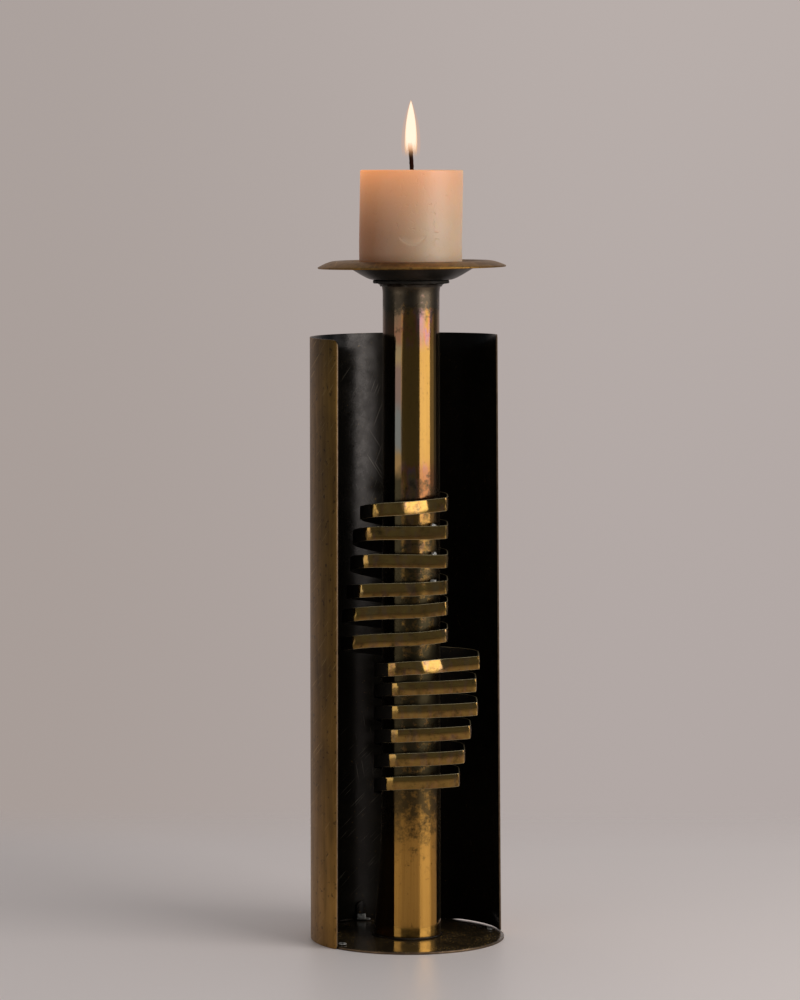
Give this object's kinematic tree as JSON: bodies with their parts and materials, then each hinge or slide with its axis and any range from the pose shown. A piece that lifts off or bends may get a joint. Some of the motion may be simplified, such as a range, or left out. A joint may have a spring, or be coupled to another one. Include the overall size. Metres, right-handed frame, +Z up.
{
  "type": "candle holder",
  "caption": "Tall brutalist brass candle holder: round base plate, curved shield round the back, tube stem wound with a flat strip, spun drip pan and pricket with a pillar candle.",
  "frame": {"origin": "centre of the base plate's flat underside, which rests on the table", "axes": "+Z up along the stem, -Y the front that the shield leaves open, +X to the right seen from the front"},
  "size_m": [0.0958, 0.0951, 0.3892],
  "materials": {
    "worn_brass": "worn semi-polished brass with brown spots",
    "aged_brass": "aged brown brass, rubbed in vertical streaks",
    "blackened_brass": "blackened, slightly glossy brass with speckled wear",
    "solder": "dull grey soft solder",
    "wax": "satin translucent wax",
    "charred_cotton": "charred cotton braid"
  },
  "bodies": {
    "holder": {"base_plate": "blackened_brass", "shield": "aged_brass", "shield_tab": "blackened_brass", "stem_tube": "worn_brass", "wound_strip": "worn_brass", "collar": "blackened_brass", "drip_pan": "aged_brass", "pricket": "worn_brass", "solder_tab": "solder", "solder_left_edge": "solder", "solder_beside_tab": "solder", "solder_rear_drop": "solder", "solder_right_edge": "solder", "solder_rear_seam": "solder", "solder_stem_foot": "solder", "solder_strip_1": "solder", "solder_strip_2": "solder", "solder_strip_3": "solder", "solder_strip_4": "solder", "solder_strip_5": "solder", "solder_collar": "solder"},
    "candle": {"candle": "wax", "wick": "charred_cotton"}
  },
  "joints": [
    {"name": "candle_lift", "type": "slide", "parent": "holder", "child": "candle", "axis": [0, 0, 1], "range_m": [0, 0.06]}
  ]
}
